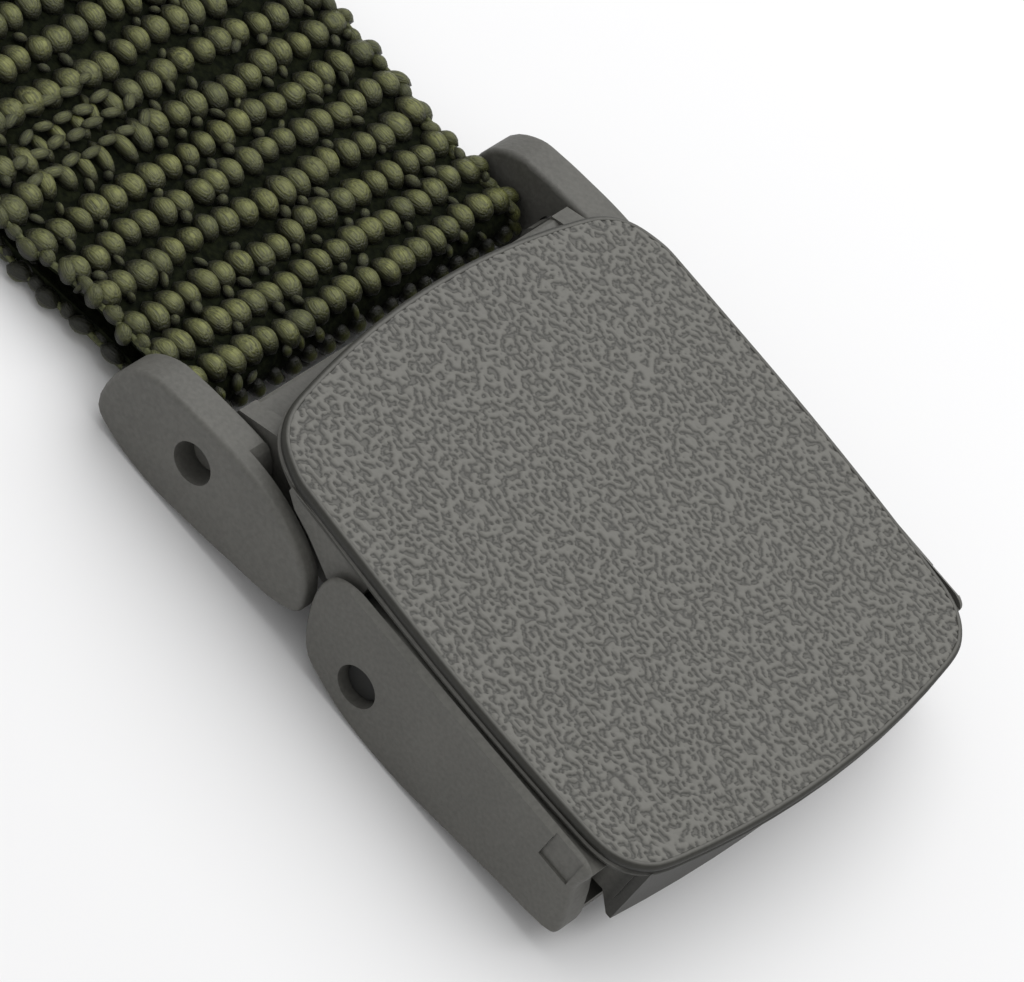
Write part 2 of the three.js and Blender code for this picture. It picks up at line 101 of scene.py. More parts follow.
WALL_LIGHT = 0.55
world = bpy.data.worlds.new("studio")
world.use_nodes = True
walls = world.node_tree.nodes["Background"]
walls.inputs["Color"].default_value = (1, 1, 1, 1)
walls.inputs["Strength"].default_value = WALL_LIGHT
bpy.context.scene.world = world

BOX_PLACE, BOX_AIM = Vector((-0.03, 0.21, 0.50)), Vector((0, 0, 0))
BOX_WIDTH, BOX_POWER = 0.80, 3.15
box_light = bpy.data.lights.new("overhead", "AREA")
box_light.size = BOX_WIDTH
box_light.energy = BOX_POWER
soft_box = bpy.data.objects.new("overhead", box_light)
soft_box.location = BOX_PLACE
soft_box.rotation_mode = "QUATERNION"
soft_box.rotation_quaternion = (BOX_AIM - BOX_PLACE).to_track_quat("-Z", "Y")
bpy.context.collection.objects.link(soft_box)

# Webbing: one coarse synthetic band, woven 38 mm wide. It comes in along the top,
# turns round the buckle's bar and goes back below, with both layers sewn together.
# Each rib is a row of plump yarns that float over a cord laid across the band.
MM = 0.001
BAND_WIDTH = 38 * MM
BAND_THICKNESS = 2.3 * MM
BAND_RUN = 43.6 * MM
BAND_BASE = 0.064 * MM
BAR_X = -4.648 * MM
BAR_Z = 3.864 * MM
LOOP_RADIUS = 2.15 * MM
LOOP_STEPS = 8
LINE_STEPS = 14
DIRECTION_REACH = 0.2 * MM
# Away from the buckle the band spreads: how far each edge moves out, over this share of the run
SPREAD_NEAR = 1.3 * MM
SPREAD_FAR = 1.0 * MM
WAIST_FAR = 0.5 * MM
SPREAD_START, SPREAD_END = 0.14, 0.46
# along is a share of the run, lift and gap are shares of the thickness
LAYERS = [
    {"along": 0.14, "lift": 0.22, "gap": 0.42},
    {"along": 0.24, "lift": 0.08, "gap": 0.46},
    {"along": 0.31, "lift": 0.02, "gap": 0.40},
    {"along": 0.38, "lift": 0.00, "gap": 0.18},
    {"along": 0.50, "lift": 0.00, "gap": 0.14},
    {"along": 0.80, "lift": 0.00, "gap": 0.14},
    {"along": 1.00, "lift": 0.00, "gap": 0.14},
]


def layer_line(layers_up):
    """The middle of the lower layer (0) or the upper one (1), from the bar to the cut."""
    return [(BAR_X - row["along"] * BAND_RUN,
             BAND_THICKNESS * (0.5 + row["lift"] + layers_up * (1 + row["gap"])) + BAND_BASE)
            for row in LAYERS]


def through(points, steps):
    """A smooth line through the points (uniform Catmull-Rom)."""
    p = np.array([points[0], *points, points[-1]])
    t = np.linspace(0, 1, steps, endpoint=False)[:, None]
    stretches = []
    for a, b, c, d in zip(p, p[1:], p[2:], p[3:]):
        stretches.append(0.5 * (2 * b + (c - a) * t + (2 * a - 5 * b + 4 * c - d) * t ** 2
                                + (3 * b - a - 3 * c + d) * t ** 3))
    return np.vstack([*stretches, p[-1:]])


loop_angles = [math.pi * (0.5 - step / LOOP_STEPS) for step in range(LOOP_STEPS + 1)]
loop_line = [(BAR_X + LOOP_RADIUS * math.cos(a), BAR_Z + LOOP_RADIUS * math.sin(a))
             for a in loop_angles]
band_line = through(layer_line(1)[::-1] + loop_line + layer_line(0), LINE_STEPS)
band_steps = np.linalg.norm(np.diff(band_line, axis=0), axis=1)
band_far = np.concatenate([[0], np.cumsum(band_steps)])
BAND_LENGTH = band_far[-1]


def on_band(far):
    """Middle of the band and its direction there, this far along from the cut top end."""
    before, after = max(far - DIRECTION_REACH, 0), min(far + DIRECTION_REACH, BAND_LENGTH)
    (x, x0, x1), (z, z0, z1) = (
        np.interp((far, before, after), band_far, band_line[:, k]) for k in (0, 1))
    size = math.hypot(x1 - x0, z1 - z0)
    return x, z, (x1 - x0) / size, (z1 - z0) / size


def eased(share):
    """A smooth step from 0 to 1."""
    return share * share * (3 - 2 * share)


def across(y, x):
    """Where a line at y across an even band lies at x, where the band spreads."""
    share = ((BAR_X - x) / BAND_RUN - SPREAD_START) / (SPREAD_END - SPREAD_START)
    share = eased(min(max(share, 0), 1))
    far_part = y / BAND_WIDTH + 0.5
    return (y + far_part * (SPREAD_FAR * share - WAIST_FAR)
            - (1 - far_part) * SPREAD_NEAR * share)


def mesh_object(name, vertices, faces, smooth=True):
    mesh = bpy.data.meshes.new(name)
    mesh.from_pydata([tuple(v) for v in vertices], [], faces)
    if smooth:
        mesh.shade_smooth()
    made = bpy.data.objects.new(name, mesh)
    bpy.context.collection.objects.link(made)
    return made


def face_outwards(mesh):
    work = bmesh.new()
    work.from_mesh(mesh)
    bmesh.ops.recalc_face_normals(work, faces=work.faces)
    work.to_mesh(mesh)
    work.free()


def swept_along_band(section, rows):
    """A closed solid from cut to cut, whose section is a ring of points (across, up)."""
    vertices, faces = [], []
    around = len(section)
    for row in range(rows + 1):
        x, z, tx, tz = on_band(BAND_LENGTH * row / rows)
        for y, up in section:
            vertices.append((x - tz * up, across(y, x), z + tx * up))
    for row in range(rows):
        for i in range(around):
            here, there = row * around + i, row * around + (i + 1) % around
            faces.append((here, here + around, there + around, there))
    faces.append(tuple(range(around)))
    faces.append(tuple(reversed(range(rows * around, (rows + 1) * around))))
    return vertices, faces


# The band's ground: the cords and the sunk yarns, seen only as dark gaps between ribs, coloured near
# black as painted shade
GROUND_ABOVE = -0.2 * MM
GROUND_BELOW = 0.95 * MM
GROUND_INSET = 0.5 * MM
GROUND_STEP = 0.8 * MM
GROUND_COLUMNS = 18
GROUND_CREASE = math.radians(50)
half_ground = BAND_WIDTH / 2 - GROUND_INSET
ground_section = [(half_ground * (2 * c / GROUND_COLUMNS - 1), GROUND_ABOVE)
                  for c in range(GROUND_COLUMNS + 1)]
ground_section += [(-y, -GROUND_BELOW) for y, _ in ground_section]
ground_piece = mesh_object(
    "webbing_ground", *swept_along_band(ground_section, int(BAND_LENGTH / GROUND_STEP) + 1))
ground_piece.data.set_sharp_from_angle(angle=GROUND_CREASE)


def link(tree, source, target):
    tree.links.new(source, target)


def node(tree, kind, **settings):
    made = tree.nodes.new(kind)
    for key, value in settings.items():
        setattr(made, key, value)
    return made


def object_place(tree):
    """Where a point of the piece lies, in metres."""
    return node(tree, "ShaderNodeTexCoord").outputs["Object"]


def add_noise(tree, scale, detail, source):
    noise = node(tree, "ShaderNodeTexNoise")
    noise.inputs["Scale"].default_value = scale
    noise.inputs["Detail"].default_value = detail
    link(tree, source, noise.inputs["Vector"])
    return noise.outputs["Fac"]


def add_bump(tree, height, strength, distance, shader, before=None):
    bump = node(tree, "ShaderNodeBump")
    bump.inputs["Strength"].default_value = strength
    bump.inputs["Distance"].default_value = distance
    link(tree, height, bump.inputs["Height"])
    if before:
        link(tree, before.outputs["Normal"], bump.inputs["Normal"])
    link(tree, bump.outputs["Normal"], shader.inputs["Normal"])
    return bump


def add_ramp(tree, value, stops):
    ramp = node(tree, "ShaderNodeValToRGB")
    for index, (place, color) in enumerate(stops):
        if index < 2:
            stop = ramp.color_ramp.elements[index]
            stop.position = place
        else:
            stop = ramp.color_ramp.elements.new(place)
        stop.color = (*color, 1)
    link(tree, value, ramp.inputs["Fac"])
    return ramp.outputs["Color"]


def multiply_colors(tree, first, second):
    mix = node(tree, "ShaderNodeMix", data_type="RGBA", blend_type="MULTIPLY")
    mix.inputs["Factor"].default_value = 1
    link(tree, first, mix.inputs["A"])
    link(tree, second, mix.inputs["B"])
    return mix.outputs["Result"]


def speckled_yarn(name, look, speckle, shades, bump):
    """A plain yarn. look is colour, roughness and specular, speckle is scale and detail."""
    material, shader = new_material(name, *look)
    tree = material.node_tree
    speckles = add_noise(tree, *speckle, object_place(tree))
    link(tree, add_ramp(tree, speckles, shades), shader.inputs["Base Color"])
    add_bump(tree, speckles, *bump, shader)
    return material


# The ground's near-black colour is painted shade for the gaps between the ribs
ground_piece.data.materials.append(speckled_yarn(
    "sunk_yarn_painted_shade", look=((0.008, 0.009, 0.004), 0.95, 0.1), speckle=(1800, 3),
    shades=[(0.35, (0.002, 0.003, 0.001)), (0.7, (0.009, 0.011, 0.004))], bump=(0.8, 0.0003)))

# The fullness of a float's sides and of its crest: the less, the fuller
SIDE_FULLNESS, CREST_FULLNESS = 0.5, 0.75


def float_mesh(name, rings, around, tail, groove):
    """One yarn float: a plump bundle of filaments with a groove along its middle. With a
    tail over 1 it is thin where it comes up and full where it dives under the next cord."""
    vertices, faces = [], []
    for ring in range(1, rings):
        share = ring / rings
        wide = math.sin(math.pi * share ** (0.5 + 0.5 * tail)) ** SIDE_FULLNESS
        high = math.sin(math.pi * share ** tail) ** CREST_FULLNESS
        for step in range(around):
            angle = 2 * math.pi * step / around
            dent = 1 - groove * abs(math.sin(angle)) * math.cos(math.pi * math.cos(angle)) ** 2
            vertices.append((share - 0.5, 0.5 * wide * math.cos(angle),
                             high * dent * math.sin(angle)))
    for ring in range(rings - 2):
        for step in range(around):
            a = ring * around + step
            b = ring * around + (step + 1) % around
            faces.append((a, b, b + around, a + around))
    for end, x in ((0, -0.5), (rings - 2, 0.5)):
        tip = len(vertices)
        vertices.append((x, 0, 0))
        for step in range(around):
            a = end * around + step
            b = end * around + (step + 1) % around
            faces.append((tip, b, a) if end == 0 else (tip, a, b))
    made = mesh_object(name, vertices, faces)
    strand = made.data.attributes.new("strand", "FLOAT_VECTOR", "POINT")
    for vertex, item in zip(made.data.vertices, strand.data):
        item.vector = tuple(vertex.co)
    return made


def scatter_tree(name):
    """Puts one shape on every point, sized by the named inputs and by the points' own
    turn and size, as one real mesh."""
    tree = bpy.data.node_groups.new(name, "GeometryNodeTree")
    for label, kind in (("Geometry", "NodeSocketGeometry"), ("Shape", "NodeSocketObject"),
                        ("Length", "NodeSocketFloat"), ("Width", "NodeSocketFloat"),
                        ("Height", "NodeSocketFloat"), ("Unevenness", "NodeSocketFloat"),
                        ("Seed", "NodeSocketInt"), ("Material", "NodeSocketMaterial")):
        tree.interface.new_socket(label, in_out="INPUT", socket_type=kind)
    tree.interface.new_socket("Geometry", in_out="OUTPUT", socket_type="NodeSocketGeometry")
    given = node(tree, "NodeGroupInput")
    shape = node(tree, "GeometryNodeObjectInfo")
    link(tree, given.outputs["Shape"], shape.inputs["Object"])
    size = node(tree, "ShaderNodeCombineXYZ")
    for label, axis in (("Length", "X"), ("Width", "Y"), ("Height", "Z")):
        link(tree, given.outputs[label], size.inputs[axis])
    spread = node(tree, "FunctionNodeRandomValue", data_type="FLOAT_VECTOR")
    for end, operation in enumerate(("SUBTRACT", "ADD")):
        limit = node(tree, "ShaderNodeMath", operation=operation)
        limit.inputs[0].default_value = 1
        link(tree, given.outputs["Unevenness"], limit.inputs[1])
        link(tree, limit.outputs[0], spread.inputs[end])
    link(tree, given.outputs["Seed"], spread.inputs["Seed"])
    uneven = node(tree, "ShaderNodeVectorMath", operation="MULTIPLY")
    link(tree, size.outputs[0], uneven.inputs[0])
    link(tree, spread.outputs[0], uneven.inputs[1])
    own = {}
    for label in ("turn", "size"):
        own[label] = node(tree, "GeometryNodeInputNamedAttribute", data_type="FLOAT_VECTOR")
        own[label].inputs["Name"].default_value = label
    sized = node(tree, "ShaderNodeVectorMath", operation="MULTIPLY")
    link(tree, uneven.outputs[0], sized.inputs[0])
    link(tree, own["size"].outputs[0], sized.inputs[1])
    placed = node(tree, "GeometryNodeInstanceOnPoints")
    link(tree, given.outputs["Geometry"], placed.inputs["Points"])
    link(tree, shape.outputs["Geometry"], placed.inputs["Instance"])
    link(tree, own["turn"].outputs[0], placed.inputs["Rotation"])
    link(tree, sized.outputs[0], placed.inputs["Scale"])
    real = node(tree, "GeometryNodeRealizeInstances")
    link(tree, placed.outputs["Instances"], real.inputs["Geometry"])
    finish = node(tree, "GeometryNodeSetMaterial")
    link(tree, real.outputs["Geometry"], finish.inputs["Geometry"])
    link(tree, given.outputs["Material"], finish.inputs["Material"])
    result = node(tree, "NodeGroupOutput")
    link(tree, finish.outputs["Geometry"], result.inputs["Geometry"])
    return tree


scatter_nodes = scatter_tree("yarns_on_the_band")


def scatter(name, points, shape, sizes, uneven, seed, material):
    """points are rows of place, turn, size and tone. Returns one plain mesh object."""
    start = mesh_object(name + "_points", [p[0] for p in points], [], smooth=False)
    for label, column in (("turn", 1), ("size", 2)):
        data = start.data.attributes.new(label, "FLOAT_VECTOR", "POINT").data
        for item, point in zip(data, points):
            item.vector = point[column]
    data = start.data.attributes.new("tone", "FLOAT", "POINT").data
    for item, point in zip(data, points):
        item.value = point[3]
    modifier = start.modifiers.new("scatter", "NODES")
    modifier.node_group = scatter_nodes
    values = {"Shape": shape, "Length": sizes[0], "Width": sizes[1], "Height": sizes[2],
              "Unevenness": uneven, "Seed": seed, "Material": material}
    for socket in scatter_nodes.interface.items_tree:
        if socket.in_out == "INPUT" and socket.name in values:
            modifier[socket.identifier] = values[socket.name]
    bpy.context.view_layer.update()
    evaluated = start.evaluated_get(bpy.context.evaluated_depsgraph_get())
    mesh = bpy.data.meshes.new_from_object(evaluated)
    mesh.name = name
    made = bpy.data.objects.new(name, mesh)
    bpy.context.collection.objects.link(made)
    bpy.data.objects.remove(start)
    return made


# Filaments per float along, across and up, and how far apart two floats' patterns lie
FILAMENTS = (1.0, 13, 9)
PATTERNS_APART = 40
DULL_TONE, BRIGHT_TONE = (0.62, 0.63, 0.60), (1.12, 1.10, 1.08)
YARN_ROUGHNESS, YARN_GLOSS = 0.4, 0.4
YARN_SHEEN, YARN_SHEEN_ROUGHNESS = 0.03, 0.4
FUZZ_SCALE = 5000
# Bumps: strength, and height in metres
FILAMENT_BUMP, FUZZ_BUMP = (0.7, 0.00018), (0.25, 0.00008)


def yarn_material(name, light, dark, side=0.10):
    """Dyed filaments with painted shade down a float's flank, where side is how light the flank
    stays.
    """
    material, shader = new_material(name, light, YARN_ROUGHNESS, YARN_GLOSS)
    shader.inputs["Sheen Weight"].default_value = YARN_SHEEN
    shader.inputs["Sheen Roughness"].default_value = YARN_SHEEN_ROUGHNESS
    tree = material.node_tree
    strand = node(tree, "ShaderNodeAttribute", attribute_name="strand").outputs["Vector"]
    tone = node(tree, "ShaderNodeAttribute", attribute_name="tone").outputs["Fac"]
    filaments = node(tree, "ShaderNodeMapping")
    filaments.inputs["Scale"].default_value = FILAMENTS
    link(tree, strand, filaments.inputs["Vector"])
    apart = node(tree, "ShaderNodeMath", operation="MULTIPLY")
    apart.inputs[1].default_value = PATTERNS_APART
    link(tree, tone, apart.inputs[0])
    shifted = node(tree, "ShaderNodeVectorMath", operation="ADD")
    link(tree, filaments.outputs["Vector"], shifted.inputs[0])
    link(tree, apart.outputs[0], shifted.inputs[1])
    lines = add_noise(tree, 1.0, 2, shifted.outputs[0])
    dyed = multiply_colors(tree, add_ramp(tree, lines, [(0.3, dark), (0.62, light)]),
                           add_ramp(tree, tone, [(0.0, DULL_TONE), (1.0, BRIGHT_TONE)]))
    strand_axes = node(tree, "ShaderNodeSeparateXYZ")
    link(tree, strand, strand_axes.inputs[0])
    # Painted shade: darker down the float's flank and darkest at its foot
    flank_painted_shade = add_ramp(tree, strand_axes.outputs["Z"], [
        (0.0, [0.2 * side] * 3), (0.45, [side] * 3), (0.8, [0.4 + 0.4 * side] * 3),
        (1.0, (1, 1, 1))])
    link(tree, multiply_colors(tree, dyed, flank_painted_shade), shader.inputs["Base Color"])
    fuzz = add_noise(tree, FUZZ_SCALE, 2, object_place(tree))
    raised = add_bump(tree, lines, *FILAMENT_BUMP, shader)
    add_bump(tree, fuzz, *FUZZ_BUMP, shader, raised)
    return material


YARN_LIGHT, YARN_DARK = (0.310, 0.330, 0.094), (0.090, 0.100, 0.022)
# The sunk yarns are the same dyed yarn made darker, as painted shade where they lie low between the
# ribs
SUNK_LIGHT, SUNK_DARK = (0.125, 0.135, 0.042), (0.040, 0.044, 0.011)
TURNED_LIGHT, TURNED_DARK = (0.170, 0.182, 0.058), (0.050, 0.056, 0.014)
yarn = yarn_material("olive_yarn", YARN_LIGHT, YARN_DARK)
sunk = yarn_material("olive_yarn_sunk_painted_shade", SUNK_LIGHT, SUNK_DARK, side=0.3)
turned = yarn_material("olive_yarn_turned", TURNED_LIGHT, TURNED_DARK, side=0.4)
RIB_PITCH = 3.3 * MM
RIB_START = 0.75 * MM
COLUMNS = 19
COLUMN_PITCH = BAND_WIDTH / COLUMNS
# The seam that holds both layers together pulls the floats down in one patch (part x, y)
SEAM_MIDDLE = (-26.6 * MM, -9.0 * MM)
SEAM_REACH = (4.2 * MM, 7.5 * MM)
SEAM_SINK = 0.25 * MM
TOP_END = 43 * MM
WEAVE_SEED = 11
draws = np.random.default_rng(WEAVE_SEED)


def placed_on_band(far, y, up, yaw=0.0, size=(1, 1, 1), tone=0.5):
    x, z, tx, tz = on_band(far)
    turn = (Matrix.Rotation(-math.atan2(tz, tx), 3, "Y")
            @ Matrix.Rotation(yaw, 3, "Z")).to_euler()
    return ((x - tz * up, across(y, x), z + tx * up), turn, size, tone)


def within_band(far, margin):
    return min(max(far, margin), BAND_LENGTH - margin)


def seam_at(far, y):
    """How strongly the seam pulls there: 1 in its middle, 0 outside it."""
    if far > TOP_END:
        return 0.0
    x = on_band(far)[0]
    away = math.hypot((x - SEAM_MIDDLE[0]) / SEAM_REACH[0], (y - SEAM_MIDDLE[1]) / SEAM_REACH[1])
    return min(max(2 - 2 * away, 0), 1)


def tone_of(draw, middle, spread):
    return float(np.clip(middle + spread * draw, 0, 1))


# Floats: a full one's length, width and height, how far one strays, and the rib's sway
FLOAT_SIZE = (2.95 * MM, 2.2 * MM, 1.14 * MM)
STRAY_ALONG, STRAY_ACROSS, STRAY_UP, STRAY_YAW = 0.12 * MM, 0.10 * MM, 0.05 * MM, 0.14
STRAY_LENGTH, STRAY_WIDTH = 0.05, 0.07
SWAY, SWAY_LONG, SWAY_SHORT = 0.16 * MM, 5 * MM, 2.2 * MM
FLOATS_DRAWN_IN = 0.985
CUT_MARGIN = 0.5 * MM
# The turn round the bar lies in the cover's shade: its floats are drawn tight and get the dullest
# tone as painted shade
SHADED_FROM, SHADED_TO = 45 * MM, 51 * MM
SHADED_SIZE, SHADED_HEIGHT = 0.6, 0.8
SEAM_LONGER, SEAM_NARROWER, SEAM_LOWER = 0.25, 0.45, 0.2
# Tones: the middle of the draws and their spread, from dull (0) to bright (1)
FLOAT_TONE = (0.55, 0.22)


def rib_float(far, y, phases):
    jitter = draws.normal(0, 1, 7)
    sway = SWAY * (math.sin(y / SWAY_LONG + phases[0]) + math.sin(y / SWAY_SHORT + phases[1]))
    pull = seam_at(far, y)
    # Floats in the cover's shade get the dullest tone below: painted shade
    shaded = SHADED_FROM < far < SHADED_TO
    tight = SHADED_SIZE if shaded else 1
    return placed_on_band(
        within_band(far + sway + STRAY_ALONG * jitter[0], CUT_MARGIN),
        y * FLOATS_DRAWN_IN + STRAY_ACROSS * jitter[1], STRAY_UP * jitter[2] - SEAM_SINK * pull,
        yaw=STRAY_YAW * jitter[3],
        size=((1 + STRAY_LENGTH * jitter[5]) * tight * (1 + SEAM_LONGER * pull),
              (1 + STRAY_WIDTH * jitter[6]) * tight * (1 - SEAM_NARROWER * pull),
              (SHADED_HEIGHT if shaded else 1) * (1 - SEAM_LOWER * pull)),
        tone=0.0 if shaded else tone_of(jitter[4], *FLOAT_TONE))


# Selvedge: two floats turn round each edge at every rib. The second comes half a rib later,
# is smaller and lies further in. Its place along the rib is its step.
TURN_SIZE = (2.5 * MM, 1.3 * MM, 0.95 * MM)
TURN_STEPS = (0, 0.5)
TURN_INSET, STEP_INSET = 0.15, 0.7
STEP_SHORTER, STEP_NARROWER = 0.4, 0.3
TURN_STRAY_STEP, TURN_STRAY_YAW = 0.05, 0.25
TURN_STRAY_ACROSS, TURN_STRAY_UP = 0.1 * MM, 0.15 * MM
TURN_TONE = (0.45, 0.25)
TURN_MARGIN = 0.6 * MM


def edge_turn(far, side, step):
    jitter = draws.normal(0, 1, 5)
    inset = (TURN_INSET + STEP_INSET * step) * MM
    shorter, narrower = 1 - STEP_SHORTER * step, 1 - STEP_NARROWER * step
    return placed_on_band(
        within_band(far + (step + TURN_STRAY_STEP * jitter[3]) * RIB_PITCH, TURN_MARGIN),
        side * (BAND_WIDTH / 2 - inset) + TURN_STRAY_ACROSS * jitter[0],
        TURN_STRAY_UP * jitter[4],
        yaw=side * (0.5 - step) + TURN_STRAY_YAW * jitter[1],
        size=(shorter, narrower, shorter), tone=tone_of(jitter[2], *TURN_TONE))


# Between two ribs small sunk yarns show here and there, and the seam's stitches in its patch
BEAD_SIZE = (1.35 * MM, 0.75 * MM, 0.46 * MM)
BEAD_SHARE = 0.55
BEAD_RISE = 0.25 * MM
BEAD_STRAY_ALONG, BEAD_STRAY_ACROSS, BEAD_STRAY_UP = 0.25 * MM, 0.15 * MM, 0.12 * MM
BEAD_STRAY_YAW = 0.5
BEAD_TONE = (0.5, 0.25)
STITCH_SIZE = (2.3 * MM, 1.0 * MM, 0.38 * MM)
STITCH_APART = 0.28
STITCH_FROM = 0.2
STITCH_RISE, STITCH_PULLED = 0.72, 0.3
STITCH_STRAY_ALONG, STITCH_STRAY_YAW = 0.15 * MM, 0.25
STITCH_TONE = (0.4, 0.2)
COLUMNS_DRAWN_IN = 0.975


def seam_stitch(middle, y, pull, step, jitter):
    return placed_on_band(
        middle + step * RIB_PITCH + STITCH_STRAY_ALONG * jitter[0], y,
        (STITCH_RISE - STITCH_PULLED * pull) * MM,
        yaw=math.pi / 2 + STITCH_STRAY_YAW * jitter[1], tone=tone_of(jitter[3], *STITCH_TONE))


def sunk_bead(middle, y, jitter):
    return placed_on_band(
        middle + BEAD_STRAY_ALONG * jitter[0], y + BEAD_STRAY_ACROSS * jitter[1],
        BEAD_RISE + BEAD_STRAY_UP * jitter[2], yaw=BEAD_STRAY_YAW * jitter[4],
        tone=tone_of(jitter[3], *BEAD_TONE))


floats, beads, turns, stitches = [], [], [], []
ribs = int((BAND_LENGTH - RIB_START) / RIB_PITCH) + 1
sway_phases = draws.uniform(0, 2 * math.pi, (ribs, 2))
for rib in range(ribs):
    rib_far = RIB_START + rib * RIB_PITCH
    for column in range(COLUMNS):
        column_y = (column + 0.5) * COLUMN_PITCH - BAND_WIDTH / 2
        floats.append(rib_float(rib_far, column_y, sway_phases[rib]))
    for side in (-1, 1):
        turns += [edge_turn(rib_far, side, step) for step in TURN_STEPS]
    middle = rib_far + RIB_PITCH / 2
    if middle > BAND_LENGTH - TURN_MARGIN:
        continue
    for column in range(COLUMNS + 1):
        gap_y = (column * COLUMN_PITCH - BAND_WIDTH / 2) * COLUMNS_DRAWN_IN
        jitter = draws.normal(0, 1, 5)
        pull = seam_at(middle, gap_y)
        if pull > STITCH_FROM:
            stitches += [seam_stitch(middle, gap_y, pull, step, jitter)
                         for step in (-STITCH_APART, STITCH_APART)]
        elif draws.random() < BEAD_SHARE:
            beads.append(sunk_bead(middle, gap_y, jitter))

plump = float_mesh("plump_float", rings=8, around=14, tail=1.12, groove=0.2)
small = float_mesh("small_float", rings=5, around=8, tail=1.0, groove=0.0)
band_pieces = [
    ground_piece,
    scatter("webbing_ribs", floats, plump, FLOAT_SIZE,
            uneven=0.05, seed=3, material=yarn),
    scatter("webbing_selvedge", turns, plump, TURN_SIZE,
            uneven=0.12, seed=7, material=turned),
    scatter("webbing_beads", beads, small, BEAD_SIZE,
            uneven=0.3, seed=5, material=sunk),
    scatter("webbing_seam", stitches, small, STITCH_SIZE,
            uneven=0.12, seed=9, material=turned),
]
bpy.data.objects.remove(plump)
bpy.data.objects.remove(small)

# The yarn that runs along each edge of the band, seen between the turns
EDGE_YARN = 0.24 * MM
EDGE_TALLER = 1.25
EDGE_INSET = 0.25 * MM
EDGE_SIDES = 8
EDGE_ROWS = 160
edge_vertices, edge_faces = [], []
for side in (-1, 1):
    ring = []
    for step in range(EDGE_SIDES):
        angle = 2 * math.pi * step / EDGE_SIDES
        ring.append((side * (BAND_WIDTH / 2 - EDGE_INSET + EDGE_YARN * math.cos(angle)),
                     EDGE_TALLER * EDGE_YARN * math.sin(angle)))
    yarn_vertices, yarn_faces = swept_along_band(ring, EDGE_ROWS)
    start = len(edge_vertices)
    edge_vertices += yarn_vertices
    edge_faces += [tuple(start + i for i in face) for face in yarn_faces]
edge_piece = mesh_object("webbing_edge_yarns", edge_vertices, edge_faces)
face_outwards(edge_piece.data)
edge_piece.data.materials.append(speckled_yarn(
    "edge_yarn", look=((0.075, 0.082, 0.030), 0.6, 0.3), speckle=(2400, 2),
    shades=[(0.35, (0.030, 0.034, 0.012)), (0.65, (0.105, 0.113, 0.044))], bump=(0.6, 0.0002)))
band_pieces.append(edge_piece)

# Everything lies on the table and ends at the cut: nothing reaches past either
for piece in band_pieces:
    places = np.empty(3 * len(piece.data.vertices), np.float32)
    piece.data.vertices.foreach_get("co", places)
    places = places.reshape(-1, 3)
    places[:, 0] = np.maximum(places[:, 0], cad_low[0])
    places[:, 2] = np.maximum(places[:, 2], cad_low[2])
    piece.data.vertices.foreach_set("co", places.ravel())
    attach(piece, "strap_side")
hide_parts("webbing")

# Ears: a pair of moulded plastic side plates that hold the strap's bar, each with a
# round hole where the cover's stub turns. Their faces are matt from the mould.
PLASTIC = (0.102, 0.100, 0.090)
PLASTIC_ROUGHNESS = 0.58
PLASTIC_GLOSS = 0.42
PIT_SCALE = 2600
PIT_BUMP = (0.6, 0.00006)
CLOUD_SCALE, CLOUD_SHARE = 160, 0.6
LIGHT_PLASTIC = [c * 1.12 for c in PLASTIC]
DARK_PLASTIC = [c * 0.86 for c in PLASTIC]


def plastic_material(name):
    """Matt moulded plastic with fine pits and faint clouds."""
    material, shader = new_material(name, PLASTIC, PLASTIC_ROUGHNESS, PLASTIC_GLOSS)
    tree = material.node_tree
    place = object_place(tree)
    pits = add_noise(tree, PIT_SCALE, 3, place)
    mixed = node(tree, "ShaderNodeMath", operation="MULTIPLY_ADD")
    link(tree, add_noise(tree, CLOUD_SCALE, 3, place), mixed.inputs[0])
    mixed.inputs[1].default_value = CLOUD_SHARE
    link(tree, pits, mixed.inputs[2])
    tint = add_ramp(tree, mixed.outputs[0], [(0.55, DARK_PLASTIC), (1.05, LIGHT_PLASTIC)])
    link(tree, tint, shader.inputs["Base Color"])
    add_bump(tree, pits, *PIT_BUMP, shader)
    return material


def tint_plastic(material, tint):
    """Multiplies the plastic's own colour by the colours of this socket."""
    tree = material.node_tree
    base = tree.nodes["Principled BSDF"].inputs["Base Color"]
    link(tree, multiply_colors(tree, base.links[0].from_socket, tint), base)


moulded = plastic_material("moulded_plastic")
CREASE = math.radians(32)
SAME_POINT, NO_LENGTH = 2e-6, 1e-6


def smooth_copy(cad_name, name, material, body):
    """A merged copy of a CAD node with smooth curved faces and crisp edges."""
    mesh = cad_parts[cad_name].data.copy()
    mesh.materials.clear()
    work = bmesh.new()
    work.from_mesh(mesh)
    bmesh.ops.remove_doubles(work, verts=work.verts, dist=SAME_POINT)
    bmesh.ops.dissolve_degenerate(work, edges=work.edges, dist=NO_LENGTH)
    work.to_mesh(mesh)
    work.free()
    if "custom_normal" in mesh.attributes:
        mesh.attributes.remove(mesh.attributes["custom_normal"])
    mesh.shade_smooth()
    mesh.set_sharp_from_angle(angle=CREASE)
    mesh.name = name
    mesh.materials.append(material)
    made = bpy.data.objects.new(name, mesh)
    bpy.context.collection.objects.link(made)
    weighted = made.modifiers.new("weighted", "WEIGHTED_NORMAL")
    weighted.keep_sharp = True
    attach(made, body)
    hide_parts(cad_name)
    return made


for side in ("near", "far"):
    smooth_copy("ear_" + side, "ear_plate_" + side, moulded, "strap_side")

# Cover: one moulded plate with a leather grain on its top, inside a smooth rounded
# rim. Its walls, stubs, front bar and hooked lip are moulded on below.
# Painted shade on the hooked lip under the plate's tail: none before the first x, full from the
# second
LIP_SHADE_START, LIP_SHADE_FULL = 43.8 * MM, 44.8 * MM
LIP_PAINTED_SHADE = (0.34, 0.34, 0.33)


